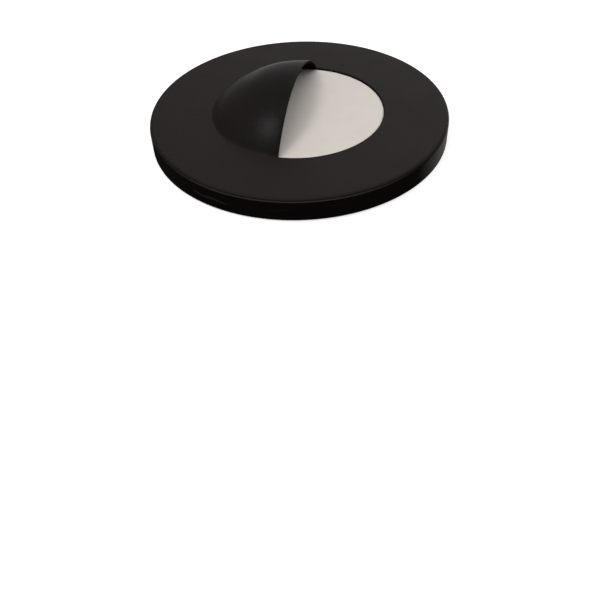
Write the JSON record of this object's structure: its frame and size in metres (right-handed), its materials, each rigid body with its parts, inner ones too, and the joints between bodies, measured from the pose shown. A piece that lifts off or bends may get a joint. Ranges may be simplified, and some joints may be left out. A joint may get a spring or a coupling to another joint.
{
  "type": "puck light",
  "caption": "Slim round surface-mount puck light with a black turning trim: a half-dome eyelid hood over one half of a flat opal lens.",
  "frame": {"origin": "centre of the back face, on the wall", "axes": "+Z out of the wall along the light's axis, +Y towards the hood's side, light leaves towards -Y"},
  "size_m": [0.076, 0.076, 0.0155],
  "materials": {
    "black_powder_coat": "matt powder coat",
    "opal_lens": "satin opal acrylic",
    "cast_aluminium": "as cast, blasted",
    "black_moulding": "moulded, matt",
    "foam": "closed-cell foam",
    "clear_acrylic": "polished",
    "white_film": "matt film",
    "white_board": "white solder mask",
    "grey_tape": "soft tape",
    "led_package": "moulded, with phosphor",
    "black_chip": "moulded",
    "ceramic_chip": "fired",
    "ivory_moulding": "moulded",
    "tinned_brass": "tinned",
    "nickel_plate": "nickel plate",
    "zinc_screw": "zinc plate"
  },
  "bodies": {
    "body": {"lens": "opal_lens", "base_pan": "cast_aluminium", "front_frame": "black_moulding", "lens_gasket": "foam", "light_guide": "clear_acrylic", "reflector_film": "white_film", "led_board": "white_board", "thermal_tape": "grey_tape", "led_1": "led_package", "led_2": "led_package", "led_3": "led_package", "led_4": "led_package", "led_5": "led_package", "led_6": "led_package", "led_7": "led_package", "led_8": "led_package", "led_9": "led_package", "led_10": "led_package", "led_11": "led_package", "led_12": "led_package", "led_13": "led_package", "led_14": "led_package", "led_15": "led_package", "led_16": "led_package", "led_17": "led_package", "led_18": "led_package", "resistor_1": "black_chip", "resistor_2": "black_chip", "resistor_3": "black_chip", "resistor_4": "black_chip", "resistor_5": "black_chip", "resistor_6": "black_chip", "input_diode": "black_chip", "input_capacitor": "ceramic_chip", "socket_shell": "ivory_moulding", "socket_pin_1": "tinned_brass", "socket_pin_2": "tinned_brass", "magnet_1": "nickel_plate", "magnet_2": "nickel_plate", "magnet_3": "nickel_plate", "frame_screws": "zinc_screw"},
    "trim": {"eyelid_trim": "black_powder_coat"}
  },
  "joints": [
    {"name": "trim_turn", "type": "hinge", "parent": "body", "child": "trim", "pos_m": [0, 0, 0.0054], "axis": [0, 0, 1], "continuous": true}
  ]
}
